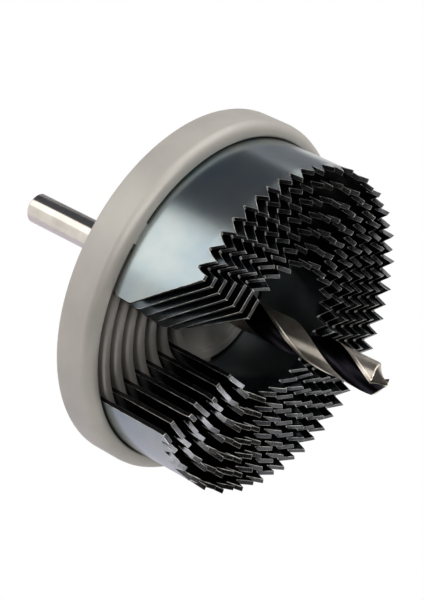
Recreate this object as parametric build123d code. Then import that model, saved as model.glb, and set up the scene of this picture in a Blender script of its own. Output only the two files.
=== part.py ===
from build123d import *
import os
from math import acos, cos, degrees, pi, radians, sin, tan

# Nested hole saw: a die-cast holder plate carries seven open-ring saw blades in
# concentric grooves, and a twist drill whose own shank is held in the drill chuck.
#
# Every piece is drawn in the tool's own frame: Z is the tool axis, pointing to the
# drill point, and Z = 0 is the front face of the holder plate. TOOL_IN_ROW then lays
# that axis along +X, with the open side of the blades towards -Y and Z up.

# ---------------------------------------------------------------- driving sizes, mm

# saw blades
LARGEST_SAW_DIAMETER = 63.0      # outside of the outermost blade
SAW_COUNT = 7
SAW_PITCH = 3.0                  # radial step from one blade to the next
BLADE_THICKNESS = 0.9
CUTTING_DEPTH = 16.0             # tooth tips above the plate's front face

# teeth
TOOTH_PITCH = 3.0
TOOTH_DEPTH = 2.4
TOOTH_LEADING_RUN = 0.8          # how far the tip stands back from the leading gullet
GULLET_WIDTH = 0.25
TOOTH_SET = 0.3                  # how far a tip leans out of the blade's wall

# open side of the blades; the ends stand along two lines beside radii of the tool
LEADING_LINE_ANGLE = 156.5
LEADING_LINE_OFFSET = 1.7        # from the radius at that angle, counter-clockwise
TRAILING_LINE_ANGLE = 198.0
TRAILING_LINE_OFFSET = 2.2
LEADING_SHOULDER_HEIGHT = 3.9    # above the plate's face, where the slant begins
LEADING_FLARE = 0.5
LEADING_CORNER_RADIUS = 1.8
SLANT_RUN = 8.8                  # round the blade, from the shoulder to the teeth
SLANT_ANGLE_LIMIT = 28.0         # the small blades keep a shorter slant
END_TOOTH_LAND = 0.2             # flat between the last tooth's tip and the slant

# holder plate
PLATE_THICKNESS = 8.0
RIM_WIDTH = 3.0                  # outside the outermost blade
FRONT_EDGE_RADIUS = 2.1
REAR_EDGE_CHAMFER = 0.5
GROOVE_DEPTH = 5.2
GROOVE_CLEARANCE = 0.12          # each side of a blade
RELIEF_DEPTH = 1.0               # shallow dish in the middle of the front face
RELIEF_RADIUS = 10.1
COLLAR_RADIUS = 5.9              # low collar round the drill's bore
COLLAR_HEIGHT = 0.4
REAR_DISH_DEPTH = 0.9
REAR_DISH_MARGIN = 3.6           # rim left outside the dish, and ring round the hub
HUB_RADIUS = 9.5
HUB_LENGTH = 12.0                # behind the plate's rear face
HUB_EDGE_CHAMFER = 0.7
HUB_ROOT_FLARE = 1.2

# drive keys that bridge the grooves
KEY_COUNT = 3
KEY_WIDTH = 4.2
KEY_CLEARANCE = 0.1
FIRST_KEY_ANGLE = 20.7

# pilot drill
DRILL_DIAMETER = 6.0
DRILL_REACH = 39.5               # drill point in front of the plate's face
SHANK_REACH = 47.5               # shank end behind the plate's face
SHANK_CHAMFER = 0.5
# not known on the real drill, whose shank may well be plain: a shallow ring that ends
# the bare, chucked length at the hub's rear face
SETTING_GROOVE_WIDTH = 1.0
SETTING_GROOVE_DEPTH = 0.3
DRILL_BORE_CLEARANCE = 0.05
FLUTE_LENGTH = 41.0
HELIX_ANGLE = 26.0
POINT_ANGLE = 118.0
WEB_THICKNESS = 0.9
FLUTE_RADIUS = 2.25
LAND_RELIEF = 0.18               # how far a land lies below its margin
MARGIN_WIDTH = 0.55
FLUTE_START_ANGLE = 31.0         # turns the whole drill about its axis

# set screw in the hub
SCREW_DIAMETER = 5.0
SCREW_LENGTH = 5.0
SCREW_SETBACK = 6.0              # from the hub's rear end to the screw's axis
SCREW_HOLE_CLEARANCE = 0.05
SCREW_POINT_GAP = 0.05
SCREW_CHAMFER = 0.5
SOCKET_WIDTH = 2.5               # across the flats
SOCKET_DEPTH = 2.5
SCREW_ANGLE = 90.0

# ---------------------------------------------------------------- worked-out values

SAW_RADII = [LARGEST_SAW_DIAMETER / 2 - SAW_PITCH * n for n in range(SAW_COUNT)]
PLATE_RADIUS = LARGEST_SAW_DIAMETER / 2 + RIM_WIDTH
KEY_ANGLES = [FIRST_KEY_ANGLE + 360.0 / KEY_COUNT * n for n in range(KEY_COUNT)]
DRILL_RADIUS = DRILL_DIAMETER / 2
BORE_RADIUS = DRILL_RADIUS + DRILL_BORE_CLEARANCE
HUB_END = -(PLATE_THICKNESS + HUB_LENGTH)
GULLET_HEIGHT = CUTTING_DEPTH - TOOTH_DEPTH
TIP_OFFSET = TOOTH_PITCH / 2 - TOOTH_LEADING_RUN     # from the middle of a tooth's pitch
CUT_MARGIN = 2.0                 # how far a cutting tool runs past what it cuts

# the chuck grips the bare shank between the hub and the end chamfer, and the row's
# origin is the middle of that length
GRIP_FRONT = HUB_END
GRIP_REAR = -(SHANK_REACH - SHANK_CHAMFER)
GRIP_MIDDLE = (GRIP_FRONT + GRIP_REAR) / 2
TOOL_IN_ROW = Plane(origin=(-GRIP_MIDDLE, 0, 0), x_dir=(0, 1, 0), z_dir=(1, 0, 0))


def radial_plane(angle):
    """A plane through the tool axis that faces outwards at an angle about it.

    Its X runs counter-clockwise round the tool and its Y runs along the tool axis.
    """
    outward = (cos(radians(angle)), sin(radians(angle)), 0)
    sideways = (-sin(radians(angle)), cos(radians(angle)), 0)
    return Plane(origin=(0, 0, 0), x_dir=sideways, z_dir=outward)


def punch(plane, outline, depth):
    """An outline drawn on a plane and driven outwards from the tool axis."""
    return extrude(plane * outline, depth, dir=plane.z_dir)


def turned(*points):
    """A solid of revolution about the tool axis from (radius, height) points."""
    return revolve(Plane.XZ * Polygon(*points, align=None), Axis.Z)


def ring(inner, outer, low, high):
    """A plain ring between two radii and two heights."""
    return turned((inner, low), (outer, low), (outer, high), (inner, high))


def edges_at(part, radius, height):
    """The circular edges of a turned part at one radius and height."""
    return [
        edge
        for edge in part.edges().filter_by(GeomType.CIRCLE)
        if abs(edge.radius - radius) < 1e-3 and abs(edge.arc_center.Z - height) < 1e-3
    ]


def key_block(radius_low, radius_high, low, high, width, angle):
    """A block of one width that runs outwards across the plate at an angle."""
    block = Box(radius_high - radius_low, width, high - low)
    centre = Pos((radius_low + radius_high) / 2, 0, (low + high) / 2)
    return Rot(0, 0, angle) * centre * block


# ---------------------------------------------------------------- holder plate


def plate_blank():
    """The disc, its hub and its rounded edges."""
    dish_inner = HUB_RADIUS + REAR_DISH_MARGIN
    dish_outer = PLATE_RADIUS - REAR_DISH_MARGIN
    dish_floor = REAR_DISH_DEPTH - PLATE_THICKNESS
    disc = turned(
        (0, 0),
        (PLATE_RADIUS, 0),
        (PLATE_RADIUS, REAR_EDGE_CHAMFER - PLATE_THICKNESS),
        (PLATE_RADIUS - REAR_EDGE_CHAMFER, -PLATE_THICKNESS),
        (dish_outer, -PLATE_THICKNESS),
        (dish_outer - REAR_DISH_DEPTH, dish_floor),
        (dish_inner + REAR_DISH_DEPTH, dish_floor),
        (dish_inner, -PLATE_THICKNESS),
        (HUB_RADIUS + HUB_ROOT_FLARE, -PLATE_THICKNESS),
        (HUB_RADIUS, -PLATE_THICKNESS - HUB_ROOT_FLARE),
        (HUB_RADIUS, HUB_END + HUB_EDGE_CHAMFER),
        (HUB_RADIUS - HUB_EDGE_CHAMFER, HUB_END),
        (0, HUB_END),
    )
    return fillet(edges_at(disc, PLATE_RADIUS, 0), FRONT_EDGE_RADIUS)


def blade_grooves():
    """Every groove as one cutting tool, broken where the drive keys bridge it."""
    grooves = [
        ring(
            radius - BLADE_THICKNESS - GROOVE_CLEARANCE,
            radius + GROOVE_CLEARANCE,
            -GROOVE_DEPTH,
            CUT_MARGIN,
        )
        for radius in SAW_RADII
    ]
    innermost = SAW_RADII[-1] - BLADE_THICKNESS - CUT_MARGIN
    keys = [
        key_block(innermost, PLATE_RADIUS, -GROOVE_DEPTH - CUT_MARGIN, 2 * CUT_MARGIN,
                  KEY_WIDTH, angle)
        for angle in KEY_ANGLES
    ]
    return [groove - keys for groove in grooves]


def front_relief():
    """The shallow dish round the drill, with a low collar left at the bore."""
    return turned(
        (0, COLLAR_HEIGHT - RELIEF_DEPTH),
        (COLLAR_RADIUS, COLLAR_HEIGHT - RELIEF_DEPTH),
        (COLLAR_RADIUS, -RELIEF_DEPTH),
        (RELIEF_RADIUS, -RELIEF_DEPTH),
        (RELIEF_RADIUS + RELIEF_DEPTH / 2, CUT_MARGIN),
        (0, CUT_MARGIN),
    )


def screw_axis():
    """The set screw's place: its plane faces outwards through the hub's side."""
    plane = radial_plane(SCREW_ANGLE)
    plane.origin = (0, 0, HUB_END + SCREW_SETBACK)
    return plane


def holder_plate():
    """The die-cast plate with grooves, keys, bore, relief and set-screw hole."""
    bore = ring(0, BORE_RADIUS, HUB_END - CUT_MARGIN, CUT_MARGIN)
    hole_radius = SCREW_DIAMETER / 2 + SCREW_HOLE_CLEARANCE
    screw_hole = punch(screw_axis(), Circle(hole_radius), HUB_RADIUS + CUT_MARGIN)
    return plate_blank() - [bore, front_relief(), screw_hole] - blade_grooves()


# ---------------------------------------------------------------- saw blades


def tooth_outline():
    """A raked tooth, drawn round the middle of its pitch."""
    half = TOOTH_PITCH / 2
    return Polygon(
        (GULLET_WIDTH / 2 - half, GULLET_HEIGHT),
        (half - GULLET_WIDTH / 2, GULLET_HEIGHT),
        (TIP_OFFSET, CUTTING_DEPTH),
        align=None,
    )


def end_tooth_outline():
    """The last tooth, left at full height past its tip for the slanted end to cut."""
    past = TIP_OFFSET + TOOTH_PITCH
    return Polygon(
        (GULLET_WIDTH / 2 - TOOTH_PITCH / 2, GULLET_HEIGHT),
        (past, GULLET_HEIGHT),
        (past, CUTTING_DEPTH),
        (TIP_OFFSET, CUTTING_DEPTH),
        align=None,
    )


def tooth(radius, lean, outline):
    """One tooth at angle 0: its outline punched from a wall that leans by its set."""
    wedge = punch(radial_plane(0), outline, radius + CUT_MARGIN)
    inner = radius - BLADE_THICKNESS
    wall = turned(
        (inner, GULLET_HEIGHT),
        (radius, GULLET_HEIGHT),
        (radius + lean, CUTTING_DEPTH),
        (inner + lean, CUTTING_DEPTH),
    )
    return wall & wedge


def leading_angle(radius):
    """Where a blade's leading end stands at its base."""
    return LEADING_LINE_ANGLE + degrees(LEADING_LINE_OFFSET / radius)


def trailing_angle(radius):
    """Where a blade's trailing end stands."""
    return TRAILING_LINE_ANGLE + degrees(TRAILING_LINE_OFFSET / radius)


def slant_angle(radius):
    """The angle that a blade's slanted end takes up at its teeth."""
    return min(degrees(SLANT_RUN / radius), SLANT_ANGLE_LIMIT)


def toothed_ring(radius):
    """The blade's wall with set teeth, left and right in turn, before its ends are cut."""
    middle = radius - BLADE_THICKNESS / 2
    step = degrees(TOOTH_PITCH / middle)
    slant_top = 360.0 + leading_angle(radius) - slant_angle(radius)
    last_tip = slant_top - degrees(END_TOOTH_LAND / middle)
    last = last_tip - degrees(TIP_OFFSET / middle)
    count = int((last_tip - trailing_angle(radius)) / step) + 1
    outward = tooth(radius, TOOTH_SET, tooth_outline())
    inward = tooth(radius, -TOOTH_SET, tooth_outline())
    teeth = [Rot(0, 0, last) * tooth(radius, TOOTH_SET, end_tooth_outline())]
    teeth += [
        Rot(0, 0, last - step * n) * (inward if n % 2 else outward) for n in range(1, count)
    ]
    wall = ring(radius - BLADE_THICKNESS, radius, -GROOVE_DEPTH, GULLET_HEIGHT)
    return wall + teeth


def gap_middle(radius):
    """The middle of a blade's open side."""
    return (leading_angle(radius) + trailing_angle(radius)) / 2


def leading_end_cut(radius):
    """The tool that cuts the slanted leading end, with its rounded shoulder."""
    slant = slant_angle(radius)
    facing = leading_angle(radius) - slant / 2
    reach = radius - BLADE_THICKNESS / 2
    base = reach * sin(radians(slant / 2))
    shoulder = base + LEADING_FLARE
    slope = (shoulder + base) / (CUTTING_DEPTH - LEADING_SHOULDER_HEIGHT)
    top = CUTTING_DEPTH + CUT_MARGIN
    far = reach * sin(radians(gap_middle(radius) - facing))
    outline = Polygon(
        (base, -GROOVE_DEPTH - CUT_MARGIN),
        (base, -GROOVE_DEPTH),
        (shoulder, LEADING_SHOULDER_HEIGHT),
        (-base - slope * CUT_MARGIN, top),
        (far, top),
        (far, -GROOVE_DEPTH - CUT_MARGIN),
        align=None,
    )
    corner = outline.vertices().sort_by_distance((shoulder, LEADING_SHOULDER_HEIGHT, 0))[0]
    outline = fillet(corner, LEADING_CORNER_RADIUS)
    return punch(radial_plane(facing), outline, radius + CUT_MARGIN)


def trailing_end_cut(radius):
    """The tool that cuts the straight trailing end, from mid-gap to its angle."""
    facing = gap_middle(radius) - CUT_MARGIN
    spread = radians(trailing_angle(radius) - facing)
    reach = (radius + CUT_MARGIN) / cos(spread)
    wedge = Polygon((0, 0), (reach, 0), (reach * cos(spread), reach * sin(spread)), align=None)
    height = GROOVE_DEPTH + CUTTING_DEPTH + 2 * CUT_MARGIN
    return Rot(0, 0, facing) * Pos(0, 0, -GROOVE_DEPTH - CUT_MARGIN) * extrude(wedge, height)


def key_notches(radius):
    """The slots in the blade's base edge that drop over the plate's drive keys."""
    low = radius - BLADE_THICKNESS - CUT_MARGIN
    width = KEY_WIDTH + 2 * KEY_CLEARANCE
    return [
        key_block(low, radius + CUT_MARGIN, -GROOVE_DEPTH - CUT_MARGIN, KEY_CLEARANCE,
                  width, angle)
        for angle in KEY_ANGLES
    ]


def saw_blade(radius):
    """One open-ring blade with its teeth, ends and drive notches."""
    cuts = [leading_end_cut(radius), trailing_end_cut(radius)] + key_notches(radius)
    return toothed_ring(radius) - cuts


# ---------------------------------------------------------------- pilot drill


def fluted_section():
    """The drill's cross-section: relieved lands, margins and two round flutes."""
    land = Circle(DRILL_RADIUS - LAND_RELIEF)
    full = Circle(DRILL_RADIUS)
    flute_centre = WEB_THICKNESS / 2 + FLUTE_RADIUS
    # half the angle that a flute's mouth takes up, by the law of cosines
    opening = DRILL_RADIUS**2 + flute_centre**2 - FLUTE_RADIUS**2
    half_mouth = degrees(acos(opening / (2 * DRILL_RADIUS * flute_centre)))
    margins = []
    flutes = []
    for side in (0, 180):
        strip = Pos(DRILL_RADIUS / 2, 0) * Rectangle(DRILL_RADIUS, 2 * MARGIN_WIDTH)
        margins.append(full & (Rot(0, 0, side - half_mouth) * strip))
        flutes.append(Rot(0, 0, side) * Pos(flute_centre, 0) * Circle(FLUTE_RADIUS))
    return (land + margins) - flutes


def pilot_drill():
    """A one-piece twist drill: plain round shank, two right-hand flutes, ground point."""
    lead = pi * DRILL_DIAMETER / tan(radians(HELIX_ANGLE))
    flute_end = DRILL_REACH - FLUTE_LENGTH
    section = fluted_section().face()
    twisted = Solid.extrude_linear_with_rotation(
        section, (0, 0, 0), (0, 0, FLUTE_LENGTH), 360.0 * FLUTE_LENGTH / lead
    )
    fluted = Pos(0, 0, flute_end) * twisted
    point_height = DRILL_RADIUS / tan(radians(POINT_ANGLE / 2))
    point = turned(
        (0, flute_end - CUT_MARGIN),
        (DRILL_DIAMETER, flute_end - CUT_MARGIN),
        (DRILL_DIAMETER, DRILL_REACH - 2 * point_height),
        (0, DRILL_REACH),
    )
    shank = turned(
        (0, -SHANK_REACH),
        (DRILL_RADIUS - SHANK_CHAMFER, -SHANK_REACH),
        (DRILL_RADIUS, SHANK_CHAMFER - SHANK_REACH),
        (DRILL_RADIUS, flute_end),
        (0, flute_end),
    )
    setting_groove = ring(
        DRILL_RADIUS - SETTING_GROOVE_DEPTH,
        DRILL_RADIUS + CUT_MARGIN,
        HUB_END - SETTING_GROOVE_WIDTH,
        HUB_END,
    )
    return Rot(0, 0, FLUTE_START_ANGLE) * (shank - setting_groove + (fluted & point))


# ---------------------------------------------------------------- set screw


def drill_set_screw():
    """The headless screw in the hub that bears on the drill's shank."""
    low = DRILL_RADIUS + SCREW_POINT_GAP
    radius = SCREW_DIAMETER / 2
    body = Cylinder(radius, SCREW_LENGTH, align=(Align.CENTER, Align.CENTER, Align.MIN))
    body = chamfer(body.edges().filter_by(GeomType.CIRCLE), SCREW_CHAMFER)
    hexagon = RegularPolygon(SOCKET_WIDTH / 2, 6, major_radius=False)
    socket = Pos(0, 0, SCREW_LENGTH - SOCKET_DEPTH) * extrude(hexagon, SOCKET_DEPTH + CUT_MARGIN)
    return screw_axis().location * Pos(0, 0, low) * (body - socket)


# ---------------------------------------------------------------- export


def save(part, name):
    """Lays one piece in the row's frame and writes it as its own STEP file."""
    placed = TOOL_IN_ROW.location * part
    solids = placed.solids()
    piece = solids[0] if len(solids) == 1 else Compound(children=solids)
    piece.label = name
    export_step(piece, f"parts/{name}.step")


os.makedirs("parts", exist_ok=True)
save(holder_plate(), "holder_plate")
save(pilot_drill(), "pilot_drill")
save(drill_set_screw(), "drill_set_screw")
for saw_radius in SAW_RADII:
    save(saw_blade(saw_radius), f"saw_blade_{round(2 * saw_radius)}")
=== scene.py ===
"""Looks of a nested hole saw.

A die-cast holder plate carries seven open-ring saw blades of blued spring steel in
concentric grooves, and a twist drill on the tool's axis. Shapes are drawn in the
tool's own coordinates: a radius from the axis, an angle about it, and a height in
front of the plate's face. All lengths are in metres.
"""

import logging
import math
from dataclasses import dataclass, field
from enum import Enum
from typing import Any

import bmesh
import bpy
import numpy as np
from mathutils import Matrix, Vector


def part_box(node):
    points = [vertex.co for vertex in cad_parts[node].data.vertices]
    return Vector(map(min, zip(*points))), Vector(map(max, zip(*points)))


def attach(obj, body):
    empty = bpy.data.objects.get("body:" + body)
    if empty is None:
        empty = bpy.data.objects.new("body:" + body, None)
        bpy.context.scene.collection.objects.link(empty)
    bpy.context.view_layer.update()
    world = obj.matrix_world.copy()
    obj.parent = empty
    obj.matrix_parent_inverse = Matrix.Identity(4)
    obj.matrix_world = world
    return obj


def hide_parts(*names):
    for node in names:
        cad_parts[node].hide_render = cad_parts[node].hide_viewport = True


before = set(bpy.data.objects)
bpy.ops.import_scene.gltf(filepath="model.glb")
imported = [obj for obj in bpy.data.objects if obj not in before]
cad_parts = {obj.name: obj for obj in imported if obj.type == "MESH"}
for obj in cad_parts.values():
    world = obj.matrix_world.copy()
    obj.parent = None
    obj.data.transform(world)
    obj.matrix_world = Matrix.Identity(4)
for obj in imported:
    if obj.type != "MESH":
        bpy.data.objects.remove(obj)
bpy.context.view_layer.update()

MM = 0.001
FACE_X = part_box("holder_plate")[1].x      # the plate's front face, where heights start
ROOT = "root"

log = logging.getLogger("hole_saw")


# ---------------------------------------------------------------- geometry helpers


def to_row(radius: np.ndarray, angle: np.ndarray, height: np.ndarray) -> np.ndarray:
    """Turns tool coordinates into the row's frame.

    The point is (face + height, radius * cos(angle), radius * sin(angle)).

    Args:
        radius: Distances from the tool axis.
        angle: Angles about the axis in radians, from +Y towards +Z.
        height: Distances in front of the plate's face.

    Returns:
        An array with the three coordinates last.
    """
    radius, angle, height = np.broadcast_arrays(radius, angle, height)
    return np.stack([FACE_X + height, radius * np.cos(angle), radius * np.sin(angle)], -1)


def grid_faces(rows: int, columns: int, wrap: bool = False, start: int = 0) -> np.ndarray:
    """The quads of a grid of points numbered row by row.

    Quad (i, j) joins points (i, j), (i, j+1), (i+1, j+1) and (i+1, j).

    Args:
        rows: Rows of points.
        columns: Points in a row.
        wrap: Whether the last column joins the first.
        start: The number of the grid's first point.

    Returns:
        An array of quads, four point numbers each.
    """
    i = np.arange(rows - 1)[:, None] * columns
    j = np.arange(columns if wrap else columns - 1)[None, :]
    k = (j + 1) % columns
    quads = np.stack([i + j, i + k, i + columns + k, i + columns + j], -1)
    return quads.reshape(-1, 4) + start


def fan_faces(ring: np.ndarray, centre: int) -> list[tuple[int, int, int]]:
    """Triangles from a closed ring of point numbers to one centre point."""
    return [(int(a), int(b), centre) for a, b in zip(ring, np.roll(ring, -1))]


def rounded_path(corners: list[tuple[float, float, float]], steps: int = 4) -> np.ndarray:
    """A path through corners, each replaced by an arc that touches both its sides.

    The arc of radius q at a corner with half-angle h starts q / tan(h) from it.

    Args:
        corners: (across, up, radius) of each corner; a radius of 0 stays sharp.
        steps: Segments in an arc.

    Returns:
        The path's points, two coordinates each.
    """
    points = [np.array(corners[0][:2])]
    for before, here, after in zip(corners, corners[1:], corners[2:]):
        corner, radius = np.array(here[:2]), here[2]
        if radius <= 0:
            points.append(corner)
            continue
        first = np.array(before[:2]) - corner
        second = np.array(after[:2]) - corner
        first, second = first / np.linalg.norm(first), second / np.linalg.norm(second)
        half = math.acos(float(np.clip(first @ second, -1, 1))) / 2
        middle = (first + second) / np.linalg.norm(first + second)
        centre = corner + middle * radius / math.sin(half)
        start, end = (corner + side * radius / math.tan(half) for side in (first, second))
        for t in np.linspace(0, 1, steps + 1):
            ray = start * (1 - t) + end * t - centre
            points.append(centre + ray / np.linalg.norm(ray) * radius)
    points.append(np.array(corners[-1][:2]))
    return np.array(points)


def signed_volume(points: np.ndarray, faces: list) -> float:
    """The volume inside a closed mesh, negative where its faces point inwards.

    It adds up the triple products p . (q x r) of the faces' triangles, over six.

    Args:
        points: The mesh's points.
        faces: Its triangles and quads, as point numbers.

    Returns:
        The volume in cubic metres.
    """
    total = 0.0
    for size in (3, 4):
        same = np.array([f for f in faces if len(f) == size], int)
        for a, b, c in ((0, 1, 2), (0, 2, 3))[: size - 2] if len(same) else ():
            p, q, r = points[same[:, a]], points[same[:, b]], points[same[:, c]]
            total += float(np.einsum("ij,ij->", p, np.cross(q, r)))
    return total / 6


def make_piece(
    name: str,
    points: np.ndarray,
    faces: list,
    materials: list[bpy.types.Material],
    chosen: np.ndarray | None = None,
    sharp: float = 32.0,
) -> bpy.types.Object:
    """Puts a closed surface into a mesh, dresses it and lets it ride on the root.

    Args:
        name: The piece's name.
        points: Its points in the row's frame.
        faces: Its faces as point numbers; all are turned over if they point inwards.
        materials: The finishes that its faces use.
        chosen: The finish of each face, as a place in materials.
        sharp: Edges that turn by more than this many degrees stay crisp.

    Returns:
        The new object.
    """
    points = points.reshape(-1, 3)
    faces = [tuple(int(n) for n in face) for face in faces]
    if signed_volume(points - points.mean(0), faces) < 0:
        faces = [face[::-1] for face in faces]
    mesh = bpy.data.meshes.new(name)
    mesh.from_pydata(points.tolist(), [], faces)
    for material in materials:
        mesh.materials.append(material)
    if chosen is not None:
        mesh.polygons.foreach_set("material_index", np.asarray(chosen, np.int32))
    mesh.polygons.foreach_set("use_smooth", np.ones(len(faces), bool))
    mesh.set_sharp_from_angle(angle=math.radians(sharp))
    mesh.update()
    piece = bpy.data.objects.new(name, mesh)
    bpy.context.scene.collection.objects.link(piece)
    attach(piece, ROOT)
    return piece


def soften(piece: bpy.types.Object, width: float, segments: int = 2, finish: int = -1) -> None:
    """Breaks a piece's sharp edges with a small bevel.

    Args:
        piece: The object to bevel.
        width: The bevel's width.
        segments: Facets across it.
        finish: Place of the bevel's own finish in the piece's list, or -1 for none.
    """
    bevel = piece.modifiers.new("broken_edges", "BEVEL")
    bevel.width = width
    bevel.segments = segments
    bevel.limit_method = "ANGLE"
    bevel.angle_limit = math.radians(40)
    bevel.harden_normals = True
    bevel.use_clamp_overlap = False
    bevel.material = finish


# ---------------------------------------------------------------- finishes


def linear(hex_colour: str) -> tuple[float, float, float, float]:
    """Turns an sRGB hex value such as #B1ACA4 into linear red, green, blue and alpha."""
    parts = [int(hex_colour[i : i + 2], 16) / 255 for i in (1, 3, 5)]
    return (*(p / 12.92 if p <= 0.04045 else ((p + 0.055) / 1.055) ** 2.4 for p in parts), 1.0)


def add_node(
    tree: bpy.types.NodeTree, kind: str, links: dict | None = None, **settings: Any
) -> bpy.types.Node:
    """Adds one node with its settings and links.

    Args:
        tree: The material's or world's node tree.
        kind: The node's type name.
        links: Input name or number to the output socket or plain value that feeds it.
        settings: Attributes of the node.

    Returns:
        The node.
    """
    node = tree.nodes.new(kind)
    for key, value in settings.items():
        setattr(node, key, value)
    for key, value in (links or {}).items():
        if isinstance(value, bpy.types.NodeSocket):
            tree.links.new(value, node.inputs[key])
        else:
            node.inputs[key].default_value = value
    return node


def ramp(
    tree: bpy.types.NodeTree,
    source: bpy.types.NodeSocket,
    stops: list[tuple[float, tuple]],
    output: str = "Color",
) -> bpy.types.NodeSocket:
    """A colour ramp fed by a socket.

    Args:
        tree: The node tree.
        source: The socket that drives the ramp.
        stops: (place, linear colour) pairs in rising order.
        output: The name of the output wanted.

    Returns:
        The ramp's output socket.
    """
    node = add_node(tree, "ShaderNodeValToRGB", {"Fac": source})
    elements = node.color_ramp.elements
    while len(elements) < len(stops):
        elements.new(0.5)
    for element, (place, colour) in zip(elements, stops):
        element.position = place
        element.color = colour
    return node.outputs[output]


def grey(value: float) -> tuple[float, float, float, float]:
    """A neutral ramp stop."""
    return (value, value, value, 1.0)


class Grain(Enum):
    """Which way a surface's fine marks run."""

    EVEN = (1.0, 1.0, 1.0)            # the same all ways, as on a casting
    ROUND_THE_AXIS = (60.0, 1.0, 1.0)    # long round the tool, as on rolled or turned steel
    ALONG_THE_AXIS = (1.0, 14.0, 14.0)   # long along the tool, as on ground flutes


@dataclass(frozen=True)
class MetalFinish:
    """One metal and how its surface was made.

    Attributes:
        name: The metal and finish in a maker's words.
        dark: The darker end of its colour, sRGB.
        light: The lighter end of its colour, sRGB.
        roughness: Lowest and highest roughness.
        patch: Size of the slow colour variation.
        grit: Size of the fine marks.
        depth: Height of the fine marks.
        grain: Which way they run.
        coat: Strength of an oil or lacquer film.
        metallic: 1 for bare metal.
    """

    name: str
    dark: str
    light: str
    roughness: tuple[float, float]
    patch: float
    grit: float
    depth: float
    grain: Grain = Grain.EVEN
    coat: float = 0.0
    metallic: float = 1.0

    def build(self) -> bpy.types.Material:
        """Makes the material.

        The colour runs between dark and light with a soft noise of the patch's size;
        the roughness follows a finer noise, and a noise of the grit's size, drawn out
        along the grain, gives the bump.

        Returns:
            The material.
        """
        material = bpy.data.materials.new(self.name)
        material.use_nodes = True
        tree = material.node_tree
        tree.nodes.clear()
        place = add_node(tree, "ShaderNodeTexCoord").outputs["Object"]
        drawn = add_node(
            tree, "ShaderNodeMapping", {"Vector": place, "Scale": self.grain.value}
        ).outputs["Vector"]
        slow = add_node(
            tree,
            "ShaderNodeTexNoise",
            {"Vector": place, "Scale": 1 / self.patch, "Detail": 3.0, "Roughness": 0.5},
        ).outputs["Fac"]
        fine = add_node(
            tree,
            "ShaderNodeTexNoise",
            {"Vector": drawn, "Scale": 1 / self.grit, "Detail": 2.0, "Roughness": 0.6},
        ).outputs["Fac"]
        colour = ramp(tree, slow, [(0.32, linear(self.dark)), (0.68, linear(self.light))])
        low, high = self.roughness
        rough = ramp(tree, fine, [(0.3, grey(low)), (0.7, grey(high))])
        bump = add_node(
            tree, "ShaderNodeBump", {"Height": fine, "Strength": 0.6, "Distance": self.depth}
        ).outputs["Normal"]
        shader = add_node(
            tree,
            "ShaderNodeBsdfPrincipled",
            {
                "Base Color": colour,
                "Roughness": rough,
                "Metallic": self.metallic,
                "Coat Weight": self.coat,
                "Normal": bump,
            },
        )
        add_node(tree, "ShaderNodeOutputMaterial", {"Surface": shader.outputs[0]})
        return material


# Die-cast zinc alloy, shot-blasted and passivated: a warm satin grey whose pitted,
# oxidised skin scatters half of the light and spreads every highlight.
DIE_CAST_ZINC = MetalFinish(
    "die_cast_zinc", "#A7A29B", "#B1ACA4", (0.40, 0.52), 9 * MM, 0.35 * MM, 0.012 * MM,
    metallic=0.3,
)
# The same casting where blades slide in and out, in a darker copy: painted shade that the
# blades cast on the ridges and grooves.
GROOVE_SHADE_ZINC = MetalFinish(
    "die_cast_zinc_painted_shade", "#8C8781", "#9A958E", (0.36, 0.48), 6 * MM, 0.35 * MM, 0.010 * MM,
    metallic=0.4,
)
# Hardened and blued spring-steel strip: an oxide over a cold-rolled face gives blue-grey
# with sharp, cool reflections drawn out along the rolling direction.
BLUED_SPRING_STEEL = MetalFinish(
    "blued_strip_steel", "#5B646C", "#6E7679", (0.18, 0.28), 14 * MM, 0.25 * MM,
    0.0015 * MM, Grain.ROUND_THE_AXIS,
)
# The outside of the largest blade: the same blued steel in a paler copy, a painted highlight
# where the key light falls on it, with straw-coloured clouds where the tempering heat ran on.
PAINTED_HIGHLIGHT_SPRING_STEEL = MetalFinish(
    "spring_steel_painted_highlight", "#8C9AA1", "#ABB0AB", (0.18, 0.27), 14 * MM, 0.25 * MM,
    0.0015 * MM, Grain.ROUND_THE_AXIS,
)
# The same strip's punched ends and base edge: painted shade, nearly black and dull.
ENDS_PAINTED_SHADE_STEEL = MetalFinish(
    "spring_steel_ends_painted_shade", "#2C2C2F", "#434447", (0.30, 0.45), 3 * MM, 0.10 * MM, 0.004 * MM
)
# Tooth flanks, ground after hardening: a little oxide is left, so they stay mid grey and
# flash where they face a lamp.
GROUND_TOOTH_FLANK = MetalFinish(
    "ground_tooth_flank", "#47484B", "#606164", (0.20, 0.34), 3 * MM, 0.10 * MM, 0.004 * MM
)
# Edges rubbed through the oxide by set and use: bare steel, a thin bright line, whose colour runs
# from grey to near white in small patches: painted glints.
BARE_EDGE_AND_PAINTED_GLINTS = MetalFinish(
    "bare_edge_painted_glints", "#75726D", "#ECE8E0", (0.25, 0.38), 1.2 * MM, 0.12 * MM, 0.004 * MM
)
# High-speed steel, ground bright: the shank catches a hard, slightly warm glint.
GROUND_SHANK_STEEL = MetalFinish(
    "ground_high_speed_steel", "#C8C0B6", "#DAD4CB", (0.12, 0.20), 4 * MM, 0.10 * MM,
    0.002 * MM, Grain.ROUND_THE_AXIS,
)
# The same steel on the lands and point, where chips have rubbed it: softer and browner.
RUBBED_LAND_STEEL = MetalFinish(
    "rubbed_high_speed_steel", "#B4A99C", "#CFC7BB", (0.24, 0.36), 3 * MM, 0.16 * MM,
    0.004 * MM, Grain.ALONG_THE_AXIS,
)
# High-speed steel with the steam oxide left in its flutes: near black and a little oily.
OXIDISED_FLUTE_STEEL = MetalFinish(
    "steam_oxide_flute_steel", "#17161A", "#232126", (0.22, 0.34), 3 * MM, 0.2 * MM,
    0.003 * MM, Grain.ALONG_THE_AXIS,
)
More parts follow.
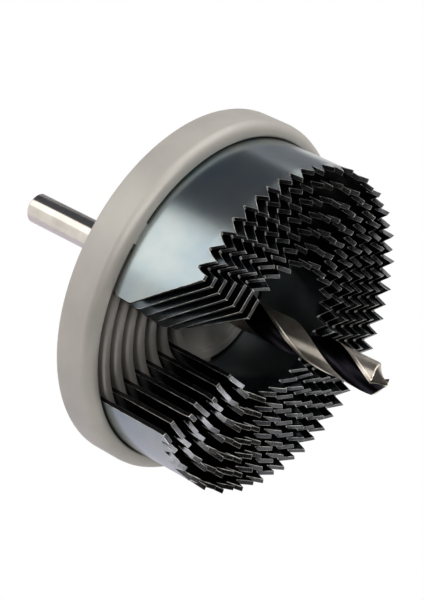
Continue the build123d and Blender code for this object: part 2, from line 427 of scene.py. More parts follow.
# Alloy-steel set screw, chemically blacked.
BLACKED_SCREW_STEEL = MetalFinish(
    "blacked_screw_steel", "#1B1B1D", "#2B2B2E", (0.30, 0.42), 2 * MM, 0.2 * MM, 0.004 * MM
)


# ---------------------------------------------------------------- saw blades


@dataclass
class SawBlade:
    """One open-ring blade: a toothed strip bent round the tool axis.

    Attributes:
        node: The CAD node that the blade stands for.
        radius: Its outside radius.
        thickness: The strip's thickness.
        groove: How deep the strip sits below the plate's face.
        tip: Height of the tooth tips above the face.
        tooth_depth: Depth of a tooth.
        pitch: Tooth spacing.
        leading_run: How far a tip stands back from the gullet in front of it.
        gullet: Width of the gullet's floor.
        tooth_set: How far a tip leans out of the wall.
        leading_line: Angle of the radius that the leading ends stand beside, degrees.
        leading_offset: How far from it they stand.
        trailing_line: The same for the trailing ends.
        trailing_offset: How far from that radius they stand.
        shoulder: Height where the leading end starts to slant.
        flare: How far the shoulder stands out into the open side.
        corner: Radius of the shoulder's corner.
        slant: Run of the slanted end round the blade.
        slant_limit: Most angle that the slant may take, degrees.
        end_land: Flat between the last tooth's tip and the slant.
        key_angles: Middles of the drive notches, degrees.
        notch_width: Width of a drive notch.
        notch_top: Height of a notch's top.
        edge_break: Width of the bevel along every cut edge, which carries bare steel with painted
            glints.
    """

    node: str
    radius: float
    thickness: float = 0.9 * MM
    groove: float = 5.2 * MM
    tip: float = 16.0 * MM
    tooth_depth: float = 2.4 * MM
    pitch: float = 3.0 * MM
    leading_run: float = 0.8 * MM
    gullet: float = 0.25 * MM
    tooth_set: float = 0.3 * MM
    leading_line: float = 156.5
    leading_offset: float = 1.7 * MM
    trailing_line: float = 198.0
    trailing_offset: float = 2.2 * MM
    shoulder: float = 3.9 * MM
    flare: float = 0.5 * MM
    corner: float = 1.8 * MM
    slant: float = 8.8 * MM
    slant_limit: float = 28.0
    end_land: float = 0.2 * MM
    key_angles: tuple[float, ...] = (260.7, 380.7, 500.7)
    notch_width: float = 4.4 * MM
    notch_top: float = 0.1 * MM
    edge_break: float = 0.065 * MM

    @property
    def middle(self) -> float:
        """Radius of the strip's mid-thickness."""
        return self.radius - self.thickness / 2

    @property
    def trailing_end(self) -> float:
        """Angle of the trailing end, degrees."""
        return self.trailing_line + math.degrees(self.trailing_offset / self.radius)

    @property
    def slant_angle(self) -> float:
        """The angle that the slanted end takes up, degrees."""
        return min(math.degrees(self.slant / self.radius), self.slant_limit)

    @property
    def full_length(self) -> float:
        """Length round the strip from its trailing end to the top of the slant."""
        base = self.leading_line + math.degrees(self.leading_offset / self.radius)
        return self.arc(360.0 + base - self.slant_angle)

    def arc(self, degrees: float) -> float:
        """Length round the strip from its trailing end to an angle."""
        return math.radians(degrees - self.trailing_end) * self.middle

    def teeth(self) -> tuple[np.ndarray, np.ndarray, np.ndarray, np.ndarray]:
        """The toothed edge as a line along the strip.

        Each tooth rises in a long straight back to its tip and falls steeply to the
        next gullet; teeth lean outwards and inwards in turn. The last tooth has no
        steep front: a short land runs from its tip to the slanted end.

        Returns:
            Lengths along the strip, heights, the lean's sign, and whether each point
            is a corner of the outline.
        """
        half = self.pitch / 2
        peak = half - self.leading_run
        base = self.tip - self.tooth_depth
        back = np.linspace(self.gullet / 2 - half, peak, 6)
        front = np.linspace(peak, half - self.gullet / 2, 3)[1:]
        along = np.concatenate([back, front])
        up = base + self.tooth_depth * np.interp(along, [back[0], peak, front[-1]], [0, 1, 0])
        corner = np.isin(np.arange(len(along)), [0, 5, len(along) - 1])
        last_tip = self.full_length - self.end_land
        order = np.arange(int(last_tip / self.pitch) + 1)[::-1]
        centres = last_tip - peak - self.pitch * order
        lengths = (centres[:, None] + along[None, :]).ravel()[: -len(front)]
        heights = np.tile(up, len(order))[: -len(front)]
        lean = np.repeat(np.where(order % 2 == 0, 1.0, -1.0), len(along))[: -len(front)]
        corner = np.tile(corner, len(order))[: -len(front)]
        keep = lengths > 0.03 * MM
        start = float(np.interp(0.0, lengths, heights))
        lengths = np.concatenate([[0.0], lengths[keep], [self.full_length]])
        heights = np.concatenate([[start], heights[keep], [self.tip]])
        lean = np.concatenate([lean[keep][:1], lean[keep], [1.0]])
        corner = np.concatenate([[True], corner[keep], [True]])
        return lengths, heights, lean, corner

    def end_line(self, heights: np.ndarray) -> np.ndarray:
        """How far the strip reaches past the top of its slant, at each height.

        The end is cut along straight lines in the plane that faces the middle of the
        slant: nearly upright below the shoulder, then slanting back to the tips, with
        an arc round the corner between them. A cut x to one side of that plane's
        middle lies asin(x / radius) round the strip.

        Args:
            heights: Heights above the plate's face.

        Returns:
            The reach at each height, along the strip.
        """
        slope = math.radians(self.slant_angle / 2)
        base = self.middle * math.sin(slope)
        path = rounded_path(
            [
                (-self.groove, base, 0),
                (self.shoulder, base + self.flare, self.corner),
                (self.tip, -base, 0),
            ],
            steps=6,
        )
        across = np.interp(heights, path[:, 0], path[:, 1])
        return self.middle * (np.arcsin(across / self.middle) + slope)

    def columns(self) -> tuple[np.ndarray, np.ndarray, np.ndarray, np.ndarray]:
        """Every column of the strip's grid: its length, base, top and lean.

        The columns are the toothed edge's points and a pair at each side of every
        drive notch; points that crowd such a pair are left out, corners excepted.
        """
        lengths, tops, lean, corner = self.teeth()
        wall = 0.12 * MM
        reach = self.notch_width / 2
        steps = np.array([-reach - wall, -reach, reach, reach + wall])
        centres = np.array([self.arc(angle) for angle in self.key_angles])
        sides = (centres[:, None] + steps[None, :]).ravel()
        crowded = np.abs(lengths[:, None] - sides[None, :]).min(1) < 0.15 * MM
        keep = corner | ~crowded
        place = np.searchsorted(lengths[keep], sides)
        tops = np.insert(tops[keep], place, np.interp(sides, lengths, tops))
        nearest = np.clip(np.searchsorted(lengths, sides), 0, len(lengths) - 1)
        lean = np.insert(lean[keep], place, lean[nearest])
        lengths = np.insert(lengths[keep], place, sides)
        from_key = np.abs(lengths[:, None] - centres[None, :]).min(1)
        bases = np.where(from_key < reach + wall / 2, self.notch_top, -self.groove)
        return lengths, bases, tops, lean

    def wall_grid(self) -> tuple[np.ndarray, np.ndarray, np.ndarray]:
        """The strip laid flat: length, height and lean of each grid point.

        Rows run from the base edge to the toothed edge. The lowest rows follow the
        notches, the middle rows lie level, and the top rows follow the teeth. Near
        the leading end each row is drawn out to meet the end line.
        """
        lengths, bases, tops, lean = self.columns()
        gullet_height = self.tip - self.tooth_depth
        low, high = 2.4 * MM, gullet_height - 1.2 * MM
        lowest = bases + np.linspace(0, 1, 4)[:-1, None] * (low - bases)
        level = np.repeat(np.linspace(low, high, 20)[:, None], len(lengths), 1)
        highest = high + np.linspace(0, 1, 6)[1:, None] * (tops - high)
        heights = np.concatenate([lowest, level, highest])
        drawn = 13.0 * MM
        share = np.clip((lengths - self.full_length + drawn) / drawn, 0, 1) ** 1.5
        along = lengths[None, :] + share[None, :] * self.end_line(heights)
        raised = np.clip((heights - gullet_height) / self.tooth_depth, 0, 1)
        return along, heights, raised * lean[None, :] * self.tooth_set

    def build(self, finishes: list[bpy.types.Material]) -> bpy.types.Object:
        """Bends the strip round the axis, closes its edges and stands for the CAD node.

        Args:
            finishes: The finish of the inner wall, of the punched ends and base, of
                the broken edges, of the tooth flanks, and of the outer wall.

        Returns:
            The blade.
        """
        along, heights, lean = self.wall_grid()
        angle = math.radians(self.trailing_end) + along / self.middle
        outer = to_row(self.radius + lean, angle, heights)
        inner = to_row(self.radius - self.thickness + lean, angle, heights)
        rows, columns = heights.shape
        points = np.concatenate([outer.reshape(-1, 3), inner.reshape(-1, 3)])
        half = rows * columns
        number = np.arange(half).reshape(rows, columns)
        border = np.concatenate(
            [number[0, :-1], number[:-1, -1], number[-1, :0:-1], number[:0:-1, 0]]
        )
        after = np.roll(border, -1)
        edge = np.stack([border, border + half, after + half, after], -1)
        walls = np.concatenate(
            [grid_faces(rows, columns), grid_faces(rows, columns, start=half)[:, ::-1]]
        )
        faces = np.concatenate([walls, edge])
        toothed = (border >= half - columns) & (after >= half - columns)
        wall = np.repeat([4, 0], len(walls) // 2)
        chosen = np.concatenate([wall, np.where(toothed, 3, 1)])
        piece = make_piece(
            f"{self.node}_strip", points, faces.tolist(), finishes,
            chosen,
        )
        soften(piece, self.edge_break, finish=2)
        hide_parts(self.node)
        return piece


# ---------------------------------------------------------------- pilot drill


@dataclass
class PilotDrill:
    """The one-piece twist drill.

    Attributes:
        radius: Outside radius, over the margins.
        point: Height of its point above the plate's face.
        flute_end: Height where the flutes run out, below the face.
        shank_end: Height of the shank's end, below the face.
        chamfer: Chamfer on the shank's end.
        groove_height: Height of the setting groove's front, at the hub's rear face.
        groove_width: Width of that groove.
        groove_depth: Depth of that groove.
        web: Thickness between the flutes.
        flute_radius: Radius of a flute's wall.
        land_relief: How far the lands lie below the margins.
        margin: Width of a margin.
        helix: Helix angle, degrees.
        point_angle: Angle of the point, degrees.
        lip_relief: Slope of the ground face behind a lip, degrees.
        start_angle: Turn of the whole drill, degrees.
    """

    radius: float = 3.0 * MM
    point: float = 39.5 * MM
    flute_end: float = -1.5 * MM
    shank_end: float = -47.5 * MM
    chamfer: float = 0.5 * MM
    groove_height: float = -20.0 * MM
    groove_width: float = 1.0 * MM
    groove_depth: float = 0.3 * MM
    web: float = 0.9 * MM
    flute_radius: float = 2.25 * MM
    land_relief: float = 0.18 * MM
    margin: float = 0.55 * MM
    helix: float = 26.0
    point_angle: float = 118.0
    lip_relief: float = 9.0
    start_angle: float = 31.0

    def half_section(self, across: int = 40, out: int = 14) -> np.ndarray:
        """One land as a grid from the web to the outside, and from heel to lip.

        Each side follows a flute's circle from the bottom of the flute to its mouth;
        between the sides the rows change from straight, at the web, to the drill's
        own circle, with a raised margin behind the lip.

        Args:
            across: Points from heel to lip.
            out: Points from the web to the outside.

        Returns:
            Points as complex numbers, one row for each step out from the web.
        """
        centre = self.web / 2 + self.flute_radius
        opening = self.radius**2 + centre**2 - self.flute_radius**2
        mouth = math.acos(opening / (2 * self.radius * centre))
        rim = self.radius * np.exp(1j * mouth) - centre
        turn = math.pi - np.angle(rim)
        step = np.linspace(0, 1, out)[:, None]
        heel = centre - self.flute_radius * np.exp(-1j * turn * step)
        lip = -np.conj(heel)
        q = np.linspace(0, 1, across)[None, :]
        chord = heel * (1 - q) + lip * q
        sweep = math.pi - 2 * mouth
        behind = (1 - q) * sweep * self.radius
        lowered = np.clip((behind - self.margin) / (0.12 * MM), 0, 1) * self.land_relief
        circle = (self.radius - lowered) * np.exp(1j * (mouth + q * sweep))
        bow = circle - (circle[:, :1] * (1 - q) + circle[:, -1:] * q)
        return chord + step**2 * bow

    def ground_height(self, section: np.ndarray) -> np.ndarray:
        """Height of the ground point over a land: a cone that falls away behind the lip.

        Args:
            section: The land's points, as half_section gives them.

        Returns:
            A height for each point.
        """
        out, across = section.shape
        r = np.abs(section)
        cone = self.point - r / math.tan(math.radians(self.point_angle / 2))
        behind = (1 - np.linspace(0, 1, across))[None, :]
        fade = np.clip(np.linspace(0, 3, out), 0, 1)[:, None]
        return cone - 1.73 * r * behind * fade * math.tan(math.radians(self.lip_relief))

    def twist(self, height: np.ndarray) -> np.ndarray:
        """Angle of the section at a height: one turn for each lead of the helix."""
        lead = 2 * math.pi * self.radius / math.tan(math.radians(self.helix))
        return math.radians(self.start_angle) + 2 * math.pi * (height - self.flute_end) / lead

    def build(self, finishes: list[bpy.types.Material]) -> bpy.types.Object:
        """Twists the section up the drill, closes the point and adds the shank.

        Args:
            finishes: The finish of the lands and point, of the flutes, and of the shank.

        Returns:
            The drill.
        """
        half = self.half_section()
        out, across = half.shape
        section = np.concatenate([half, -half])
        tops = np.concatenate([self.ground_height(half)] * 2)
        number = np.arange(section.size).reshape(2 * out, across)
        cap = np.concatenate([grid_faces(out, across), grid_faces(out, across, start=half.size)])
        loop = np.concatenate(
            [
                number[out - 1, :], number[out - 2 :: -1, -1][: out - 1],
                number[out + 1 : 2 * out, 0], number[2 * out - 1, 1:],
                number[2 * out - 2 : out - 1 : -1, -1], number[1 : out - 1, 0],
            ]
        )
        rows = 120
        share = np.linspace(1, 0, rows)[:, None]
        heights = self.flute_end + share * (tops.ravel()[loop][None, :] - self.flute_end)
        side_section = np.repeat(section.ravel()[loop][None, :], rows, 0)
        plane = np.concatenate([section.ravel(), side_section.ravel()])
        height = np.concatenate([tops.ravel(), heights.ravel()])
        turned = plane * np.exp(1j * self.twist(height))
        points = to_row(np.abs(turned), np.angle(turned), height)
        sides = grid_faces(rows, len(loop), wrap=True, start=section.size)
        bottom = section.size + (rows - 1) * len(loop) + np.arange(len(loop))
        end_plug = fan_faces(bottom, len(points))
        points = np.concatenate([points, to_row(0.0, 0.0, self.flute_end)[None, :]])
        outside = np.zeros(len(loop), bool)
        outside[: across - 1] = True
        second = across + 2 * (out - 1) - 1
        outside[second : second + across - 1] = True
        chosen = np.concatenate(
            [
                np.zeros(len(cap)),
                np.tile(np.where(outside, 0, 1), rows - 1),
                np.zeros(len(end_plug)),
            ]
        )
        shank_points, shank_faces = self.shank(len(points))
        faces = cap.tolist() + sides.tolist() + end_plug + shank_faces
        chosen = np.concatenate([chosen, np.full(len(shank_faces), 2)])
        points = np.concatenate([points, shank_points])
        piece = make_piece(
            "pilot_drill_body", points, faces, finishes, chosen, 28.0
        )
        merge_doubles(piece)
        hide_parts("pilot_drill")
        return piece

    def shank(self, start: int) -> tuple[np.ndarray, list]:
        """The round shank as a closed turned shape.

        Args:
            start: The number of its first point.

        Returns:
            Its points and faces.
        """
        back, front = self.groove_height - self.groove_width, self.groove_height
        floor = self.radius - self.groove_depth
        profile = rounded_path(
            [
                (0.0, self.shank_end, 0),
                (self.radius - self.chamfer, self.shank_end, 0.1 * MM),
                (self.radius, self.shank_end + self.chamfer, 0.2 * MM),
                (self.radius, back, 0.06 * MM),
                (floor, back, 0.06 * MM),
                (floor, front, 0.06 * MM),
                (self.radius, front, 0.06 * MM),
                (self.radius, self.flute_end, 0),
                (0.0, self.flute_end, 0),
            ]
        )
        return turned_surface(profile, 96, start)


def merge_doubles(piece: bpy.types.Object) -> None:
    """Joins points of a piece that lie on each other and turns its faces outwards.

    Args:
        piece: The piece, which is changed in place.
    """
    work = bmesh.new()
    work.from_mesh(piece.data)
    bmesh.ops.remove_doubles(work, verts=work.verts, dist=1e-7)
    bmesh.ops.recalc_face_normals(work, faces=work.faces)
    work.to_mesh(piece.data)
    work.free()


def turned_surface(profile: np.ndarray, segments: int, start: int = 0) -> tuple[np.ndarray, list]:
    """A closed surface of revolution about the tool axis.

    Args:
        profile: (radius, height) points whose first and last lie on the axis.
        segments: Steps round the axis.
        start: The number of the first point.

    Returns:
        Its points and faces.
    """
    angle = np.arange(segments) / segments * 2 * math.pi
    body = profile[1:-1]
    rings = to_row(body[:, :1], angle[None, :], body[:, 1:])
    poles = [to_row(0.0, 0.0, profile[end, 1])[None] for end in (0, -1)]
    points = np.concatenate([rings.reshape(-1, 3), *poles])
    number = start + np.arange(len(body) * segments).reshape(len(body), segments)
    faces = grid_faces(len(body), segments, wrap=True, start=start).tolist()
    first, last = start + len(points) - 2, start + len(points) - 1
    faces += [face[::-1] for face in fan_faces(number[0], first)]
    faces += fan_faces(number[-1], last)
    return points, faces


# ---------------------------------------------------------------- holder plate


@dataclass
class HolderPlate:
    """The die-cast plate with its grooves, drive keys, dish and hub.

    Attributes:
        radius: Outside radius.
        thickness: Thickness at the rim.
        blade_radii: Outside radii of the blades, largest first.
        strip: Thickness of a blade.
        clearance: Room each side of a blade.
        groove: Depth of a groove.
        key_angles: Middles of the drive keys, degrees.
        key_width: Width of a key.
        ridge_round: Rounding of the ridges between the grooves.
        edge_round: Rounding of the collar's and the dish's edges.
    """

    radius: float
    thickness: float
    blade_radii: list[float]
    strip: float = 0.9 * MM
    clearance: float = 0.12 * MM
    groove: float = 5.2 * MM
    key_angles: tuple[float, ...] = (20.7, 140.7, 260.7)
    key_width: float = 4.2 * MM
    ridge_round: float = 0.55 * MM
    edge_round: float = 0.22 * MM
    front_edge: float = 2.1 * MM
    rear_edge: float = 0.7 * MM
    dish_depth: float = 1.0 * MM
    dish_radius: float = 10.1 * MM
    collar_radius: float = 5.9 * MM
    collar_height: float = 0.4 * MM
    rear_dish: float = 0.9 * MM
    rear_margin: float = 3.6 * MM
    hub_radius: float = 9.5 * MM
    hub_length: float = 12.0 * MM
    hub_edge: float = 1.0 * MM
    hub_root: float = 1.7 * MM
    bore: float = 3.05 * MM
    screw_hole: float = 2.55 * MM
    screw_height: float = -14.0 * MM

    def profile(self) -> tuple[np.ndarray, np.ndarray, np.ndarray]:
        """The turned outline, and the same outline with every groove filled.

        Returns:
            Two lists of (radius, height) points of the same length, the section
            through the grooves and the section through a drive key, and whether
            each point lies among the grooves.
        """
        ridge, edge = self.ridge_round, self.edge_round
        hub_end = -(self.thickness + self.hub_length)
        corners = [
            (self.bore, hub_end, 0.0),
            (self.bore, self.collar_height - self.dish_depth, edge),
            (self.collar_radius, self.collar_height - self.dish_depth, 0.15 * MM),
            (self.collar_radius, -self.dish_depth, 0.15 * MM),
            (self.dish_radius, -self.dish_depth, 0.2 * MM),
            (self.dish_radius + self.dish_depth / 6, 0.0, edge),
        ]
        for blade in self.blade_radii[::-1]:
            inner = blade - self.strip - self.clearance
            outer = blade + self.clearance
            corners += [
                (inner, 0.0, ridge), (inner, -self.groove, 0.0),
                (outer, -self.groove, 0.0), (outer, 0.0, ridge),
            ]
        back = -self.thickness
        dish_out = self.radius - self.rear_margin
        dish_in = self.hub_radius + self.rear_margin
        corners += [
            (self.radius, 0.0, self.front_edge),
            (self.radius, back, self.rear_edge),
            (dish_out, back, 0.3 * MM),
            (dish_out - self.rear_dish, back + self.rear_dish, 0.3 * MM),
            (dish_in + self.rear_dish, back + self.rear_dish, 0.3 * MM),
            (dish_in, back, 0.3 * MM),
            (self.hub_radius, back, self.hub_root),
            (self.hub_radius, hub_end, self.hub_edge),
            (self.bore, hub_end, 0.0),
        ]
        path = rounded_path(corners, steps=5)
        filled = path.copy()
        in_front = path[:, 0] > self.dish_radius + 0.6 * MM
        in_front &= path[:, 0] < self.radius - 2.6 * MM
        in_front &= path[:, 1] > -self.groove - 0.1 * MM
        filled[in_front, 1] = 0.0
        return path[:-1], filled[:-1], in_front[:-1]

    def build(self, finishes: list[bpy.types.Material]) -> bpy.types.Object:
        """Turns the section about the axis, swapping to the filled one across each key.

        A key's sides lie half its width from its middle line, so at radius r they
        stand asin(width / 2 / r) either side of its angle.

        Args:
            finishes: The plate's finish, and its darker copy among the grooves, which is painted
                shade.

        Returns:
            The plate.
        """
        path, filled, in_front = self.profile()
        nearest = self.blade_radii[-1] - self.strip
        spread = np.arcsin(self.key_width / 2 / np.maximum(path[:, 0], nearest))
        step = 0.03 * MM / np.maximum(path[:, 0], nearest)
        angles, depths = [], []
        keys = np.radians(self.key_angles)
        for key, following in zip(keys, np.roll(keys, -1)):
            following = following + (2 * math.pi if following < key else 0)
            for t in np.linspace(-1, 1, 5):
                angles.append(key + t * spread)
                depths.append(filled[:, 1])
            start, end = key + spread + step, following - spread - step
            for t in np.linspace(0, 1, 84):
                angles.append(start * (1 - t) + end * t)
                depths.append(path[:, 1])
        angle, height = np.array(angles), np.array(depths)
        points = to_row(path[None, :, 0], angle, height)
        columns = len(path)
        rows = len(angles)
        quads = grid_faces(rows, columns, wrap=True)
        number = np.arange(rows * columns).reshape(rows, columns)
        last, first = number[-1], number[0]
        seam = np.stack([last, np.roll(last, -1), np.roll(first, -1), first], -1)
        faces = np.concatenate([quads, seam]).tolist()
        # Faces among the grooves take the darker casting copy: painted shade between the blades.
        rubbed = np.tile(in_front & np.roll(in_front, -1), len(faces) // columns)
        piece = make_piece(
            "holder_casting", points, faces, finishes, rubbed, 35.0
        )
        self.drill_screw_hole(piece)
        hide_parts("holder_plate")
        return piece

    def drill_screw_hole(self, piece: bpy.types.Object) -> None:
        """Cuts the set screw's hole into the top of the hub and keeps the result.

        Args:
            piece: The turned plate.
        """
        turn = np.arange(40) / 40 * 2 * math.pi
        across = self.screw_hole * np.sin(turn)
        along = FACE_X + self.screw_height + self.screw_hole * np.cos(turn)
        levels = np.array([self.bore - 1.0 * MM, self.hub_radius + 1.0 * MM])
        rings = np.stack(
            np.broadcast_arrays(along[None, :], across[None, :], levels[:, None]), -1
        ).reshape(-1, 3)
        faces = [tuple(range(39, -1, -1)), tuple(range(40, 80))]
        faces += [(i, (i + 1) % 40, 40 + (i + 1) % 40, 40 + i) for i in range(40)]
        mesh = bpy.data.meshes.new("screw_hole_tool")
        mesh.from_pydata(rings.tolist(), [], faces)
        tool = bpy.data.objects.new("screw_hole_tool", mesh)
        bpy.context.scene.collection.objects.link(tool)
        cut = piece.modifiers.new("screw_hole", "BOOLEAN")
        cut.object = tool
        cut.solver = "EXACT"
        bpy.context.view_layer.update()
        shown = piece.evaluated_get(bpy.context.evaluated_depsgraph_get())
        result = bpy.data.meshes.new_from_object(shown)
        piece.modifiers.clear()
        old = piece.data
        piece.data = result
        bpy.data.meshes.remove(old)
        bpy.data.objects.remove(tool)
        bpy.data.meshes.remove(mesh)
        result.set_sharp_from_angle(angle=math.radians(35))


# ---------------------------------------------------------------- set screw


@dataclass
class SetScrew:
    """The headless screw in the hub: a thread, two chamfered ends and a hexagon socket.

    Attributes:
        along: Where its axis crosses the tool's, along X.
        bottom: Height of its point over the tool's axis.
        top: Height of its socket end.
        radius: Outside radius of the thread.
        thread_pitch: Rise of the thread in a turn.
        thread_depth: Depth of the thread.
        chamfer: Chamfer on both ends.
        across_flats: Width of the hexagon socket.
        socket_depth: Its depth.
    """

    along: float
    bottom: float
    top: float
    radius: float = 2.5 * MM
    thread_pitch: float = 0.8 * MM
    thread_depth: float = 0.4 * MM
    chamfer: float = 0.5 * MM
    across_flats: float = 2.5 * MM
    socket_depth: float = 2.5 * MM

    def build(self, blacked: bpy.types.Material) -> bpy.types.Object:
        """Stacks rings from the point, up the thread, over the end and down the socket.

        The thread's radius falls in a triangle wave of (height / pitch - angle / 2 pi),
        no further in than the chamfers allow. The socket's radius at angle a is
        half its width over the cosine of a's distance from the nearest flat's middle.

        Args:
            blacked: The screw's finish.

        Returns:
            The screw.
        """
        segments, rows = 72, 90
        angle = np.arange(segments) / segments * 2 * math.pi
        height = np.linspace(self.bottom, self.top, rows)[:, None]
        phase = (height / self.thread_pitch - angle[None, :] / (2 * math.pi)) % 1.0
        wave = 1 - np.abs(2 * phase - 1)
        thread = self.radius - self.thread_depth * wave
        from_end = np.minimum(height - self.bottom, self.top - height)
        thread = np.minimum(thread, self.radius - self.chamfer + from_end)
        flat = (angle + math.pi / 6) % (math.pi / 3) - math.pi / 6
        socket = self.across_flats / 2 / np.cos(flat)
        floor = self.top - self.socket_depth
        radii = np.concatenate([thread, [socket + 0.12 * MM], [socket], [socket]])
        levels = np.concatenate([height.ravel(), [self.top, self.top - 0.1 * MM, floor]])
        up = np.repeat(levels[:, None], segments, 1)
        points = np.stack(
            [self.along + radii * np.cos(angle), radii * np.sin(angle), up], -1
        ).reshape(-1, 3)
        ends = np.array(
            [[self.along, 0, self.bottom], [self.along, 0, floor - 0.4 * MM]]
        )
        number = np.arange(len(points)).reshape(len(levels), segments)
        faces = grid_faces(len(levels), segments, wrap=True).tolist()
        faces += [face[::-1] for face in fan_faces(number[0], len(points))]
        faces += fan_faces(number[-1], len(points) + 1)
        piece = make_piece(
            "set_screw_body", np.concatenate([points, ends]), faces, [blacked],
            sharp=28.0,
        )
        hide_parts("drill_set_screw")
        return piece


# ---------------------------------------------------------------- studio


@dataclass(frozen=True)
class StudioCamera:
    """The camera, placed by angles round the point it looks at.

    Attributes:
        azimuth: Degrees from -Y towards +X.
        elevation: Degrees above the horizon.
        roll: Degrees that the picture leans.
        distance: From the point looked at.
        focal_length: In millimetres, on a 36 mm long side.
        aim: The point looked at.
    """

    azimuth: float = 37.784
    elevation: float = 26.283
    roll: float = 7.970
    distance: float = 442.0 * MM
    focal_length: float = 144.97
    aim: tuple[float, float, float] = (33.5 * MM, -2.05 * MM, 0.54 * MM)

    def build(self) -> None:
        """Makes the camera and gives it to the scene."""
        a, e = math.radians(self.azimuth), math.radians(self.elevation)
        back = Vector((math.sin(a) * math.cos(e), -math.cos(a) * math.cos(e), math.sin(e)))
        turn = (-back).to_track_quat("-Z", "Y") @ Matrix.Rotation(
            math.radians(self.roll), 3, "Z"
        ).to_quaternion()
        data = bpy.data.cameras.new("studio_camera")
        data.lens = self.focal_length
        data.clip_start, data.clip_end = 0.02, 20.0
        camera = bpy.data.objects.new("studio_camera", data)
        camera.rotation_mode = "QUATERNION"
        camera.rotation_quaternion = turn
        camera.location = Vector(self.aim) + back * self.distance
        bpy.context.scene.collection.objects.link(camera)
        bpy.context.scene.camera = camera


@dataclass(frozen=True)
class SoftBox:
    """One rectangular soft light that looks at the tool.

    Attributes:
        name: What it does.
        direction: From the tool towards the light.
        distance: From the tool.
        size: Width and height.
        brightness: Radiance of its face, where 1 is the white of the background.
    """

    name: str
    direction: tuple[float, float, float]
    distance: float
    size: tuple[float, float]
    brightness: float

    def build(self) -> None:
        """Makes the light; its power is pi * area * brightness, as for any flat lamp."""
        data = bpy.data.lights.new(self.name, "AREA")
        data.shape = "RECTANGLE"
        data.size, data.size_y = self.size
        data.energy = math.pi * self.size[0] * self.size[1] * self.brightness
        lamp = bpy.data.objects.new(self.name, data)
        towards = Vector(self.direction).normalized()
        lamp.location = Vector((FACE_X, 0, 0)) + towards * self.distance
        lamp.rotation_mode = "QUATERNION"
        lamp.rotation_quaternion = towards.to_track_quat("Z", "Y")
        bpy.context.scene.collection.objects.link(lamp)


@dataclass(frozen=True)
class Flag:
    """A matt card that polished steel reflects; the camera doesn't see it.

    Attributes:
        name: What it does.
        direction: From the tool towards the card.
        distance: From the tool.
        size: Width and height.
        tone: Its colour, sRGB.
        shades: Whether it also keeps the room's light off the tool.
    """

    name: str
    direction: tuple[float, float, float]
    distance: float
    size: tuple[float, float]
    tone: str = "#101010"
    shades: bool = False

    def build(self) -> None:
        """Makes the card, square on to the tool, and paints it."""
        towards = Vector(self.direction).normalized()
        turn = towards.to_track_quat("Z", "Y").to_matrix()
        middle = Vector((FACE_X, 0, 0)) + towards * self.distance
        wide, high = (side / 2 for side in self.size)
        spots = [(-wide, -high), (wide, -high), (wide, high), (-wide, high)]
        mesh = bpy.data.meshes.new(self.name)
        mesh.from_pydata([middle + turn @ Vector((*spot, 0)) for spot in spots], [], [(0, 1, 2, 3)])
        matt = bpy.data.materials.new(f"{self.name}_matt_card")
        matt.use_nodes = True
        tree = matt.node_tree
        tree.nodes.clear()
        paint = add_node(tree, "ShaderNodeBsdfDiffuse", {"Color": linear(self.tone)}).outputs[0]
        add_node(tree, "ShaderNodeOutputMaterial", {"Surface": paint})
        mesh.materials.append(matt)
        card = bpy.data.objects.new(self.name, mesh)
        bpy.context.scene.collection.objects.link(card)
        card.visible_camera = False
        card.visible_diffuse = card.visible_shadow = self.shades


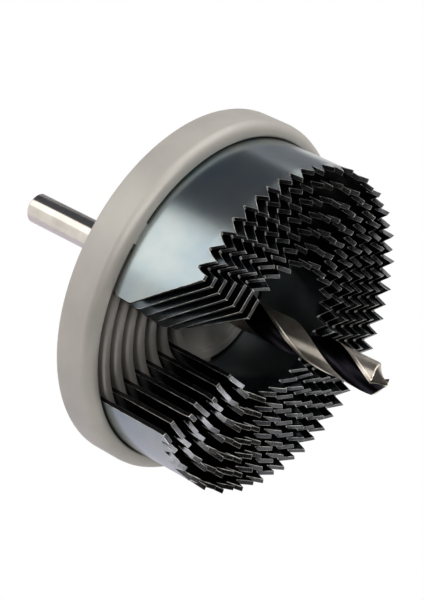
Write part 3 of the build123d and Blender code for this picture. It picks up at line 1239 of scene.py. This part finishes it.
@dataclass
class Studio:
    """A white room with soft boxes and a few black cards for the polished steel."""

    floor_height: float = -160.0 * MM
    floor_radius: float = 2.5
    boxes: list[SoftBox] = field(
        default_factory=lambda: [
            SoftBox("key_softbox", (-0.55, -0.60, 0.58), 0.60, (0.50, 0.34), 0.8),
            SoftBox("edge_softbox", (0.72, -0.20, 0.66), 0.36, (0.10, 0.10), 8.0),
            SoftBox("top_softbox", (0.05, 0.35, 0.93), 0.45, (0.38, 0.38), 1.5),
            SoftBox("rim_softbox", (0.50, -0.60, 0.62), 0.40, (0.18, 0.18), 2.8),
        ]
    )
    flags: list[Flag] = field(
        default_factory=lambda: [
            Flag("top_flag", (-0.549, 0.23, 0.80), 0.45, (0.44, 0.55), "#585A62"),
            Flag("limb_card", (-0.549, 0.79, 0.26), 0.45, (0.44, 0.25), "#9A9AA0"),
            Flag("low_card", (-0.549, 0.17, -0.81), 0.15, (0.25, 0.25), "#E4E0EC"),
            Flag("front_flag", (0.05, -0.86, 0.15), 0.45, (0.22, 0.75)),
            Flag("side_flag", (0.55, -0.80, -0.25), 0.34, (0.34, 0.34), shades=True),
            Flag("mouth_flag", (1.0, 0.0, 0.0), 0.40, (1.00, 1.00), shades=True),
        ]
    )

    def build(self) -> None:
        """Makes the lights, the cards, the floor and the world."""
        for box in self.boxes:
            box.build()
        for flag in self.flags:
            flag.build()
        self.build_floor()
        self.build_world()

    def build_floor(self) -> None:
        """A wide pale disc; the camera and every mirror see it as white."""
        turn = np.arange(64) / 64 * 2 * math.pi
        points = np.stack(
            [self.floor_radius * np.cos(turn), self.floor_radius * np.sin(turn),
             np.full(64, self.floor_height)], -1
        )
        mesh = bpy.data.meshes.new("floor")
        mesh.from_pydata(points.tolist(), [], [tuple(range(64))])
        floor = bpy.data.objects.new("floor", mesh)
        bpy.context.scene.collection.objects.link(floor)
        material = bpy.data.materials.new("pale_floor")
        material.use_nodes = True
        tree = material.node_tree
        tree.nodes.clear()
        seen = self.seen_directly(tree)
        matt = add_node(
            tree, "ShaderNodeBsdfDiffuse", {"Color": linear("#F4F4F4")}
        ).outputs[0]
        white = add_node(tree, "ShaderNodeEmission", {"Strength": 1.0}).outputs[0]
        mixed = add_node(tree, "ShaderNodeMixShader", {0: seen, 1: matt, 2: white}).outputs[0]
        add_node(tree, "ShaderNodeOutputMaterial", {"Surface": mixed})
        mesh.materials.append(material)

    def build_world(self) -> None:
        """White to the camera and to mirrors, and a plain soft light to the rest."""
        world = bpy.data.worlds.new("white_surround")
        bpy.context.scene.world = world
        world.use_nodes = True
        tree = world.node_tree
        tree.nodes.clear()
        seen = self.seen_directly(tree)
        soft = add_node(
            tree, "ShaderNodeBackground", {"Color": grey(1.0), "Strength": 0.95}
        ).outputs[0]
        white = add_node(
            tree, "ShaderNodeBackground", {"Color": grey(1.0), "Strength": 1.0}
        ).outputs[0]
        mixed = add_node(tree, "ShaderNodeMixShader", {0: seen, 1: soft, 2: white}).outputs[0]
        add_node(tree, "ShaderNodeOutputWorld", {"Surface": mixed})

    @staticmethod
    def seen_directly(tree: bpy.types.NodeTree) -> bpy.types.NodeSocket:
        """A socket that is 1 for camera, glossy and transmission rays.

        Args:
            tree: The node tree that the socket belongs to.

        Returns:
            The socket.
        """
        path = add_node(tree, "ShaderNodeLightPath")
        either = add_node(
            tree, "ShaderNodeMath",
            {0: path.outputs["Is Camera Ray"], 1: path.outputs["Is Glossy Ray"]},
            operation="MAXIMUM",
        )
        return add_node(
            tree, "ShaderNodeMath",
            {0: either.outputs[0], 1: path.outputs["Is Transmission Ray"]},
            operation="MAXIMUM",
        ).outputs[0]


# ---------------------------------------------------------------- the whole tool


def saw_nodes() -> list[tuple[str, float]]:
    """Every blade's node with its outside radius, largest first."""
    names = [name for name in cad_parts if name.startswith("saw_blade_")]
    sized = [(name, int(name.rsplit("_", 1)[1]) / 2 * MM) for name in names]
    return sorted(sized, key=lambda pair: -pair[1])


def main() -> None:
    """Builds the tool's pieces in order, then the studio round them."""
    logging.basicConfig(level=logging.INFO)
    scene = bpy.context.scene
    scene.view_settings.view_transform = "Standard"

    cast = DIE_CAST_ZINC.build()
    # The darker casting copy: painted shade among the grooves.
    groove_painted_shade = GROOVE_SHADE_ZINC.build()
    blued = BLUED_SPRING_STEEL.build()
    polished = PAINTED_HIGHLIGHT_SPRING_STEEL.build()
    # The ends' finish is painted shade.
    punched = ENDS_PAINTED_SHADE_STEEL.build()
    # The edge finish is bare steel with painted glints.
    ground = BARE_EDGE_AND_PAINTED_GLINTS.build()
    flank = GROUND_TOOTH_FLANK.build()
    bright = GROUND_SHANK_STEEL.build()
    rubbed = RUBBED_LAND_STEEL.build()
    oxide = OXIDISED_FLUTE_STEEL.build()
    blacked = BLACKED_SCREW_STEEL.build()

    blades = saw_nodes()
    _, plate_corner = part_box("holder_plate")
    plate = HolderPlate(plate_corner.z, 8.0 * MM, [radius for _, radius in blades])
    log.info("%s", plate.build([cast, groove_painted_shade]).name)
    for place, (node, radius) in enumerate(blades):
        # The largest blade's outer wall takes the paler steel copy, a painted highlight.
        outside = blued if place else polished
        finishes = [blued, punched, ground, flank, outside]
        log.info("%s", SawBlade(node, radius).build(finishes).name)
    log.info("%s", PilotDrill().build([rubbed, oxide, bright]).name)

    low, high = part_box("drill_set_screw")
    log.info("%s", SetScrew((low.x + high.x) / 2, low.z, high.z).build(blacked).name)

    StudioCamera().build()
    Studio().build()


if __name__ == "__main__":
    main()
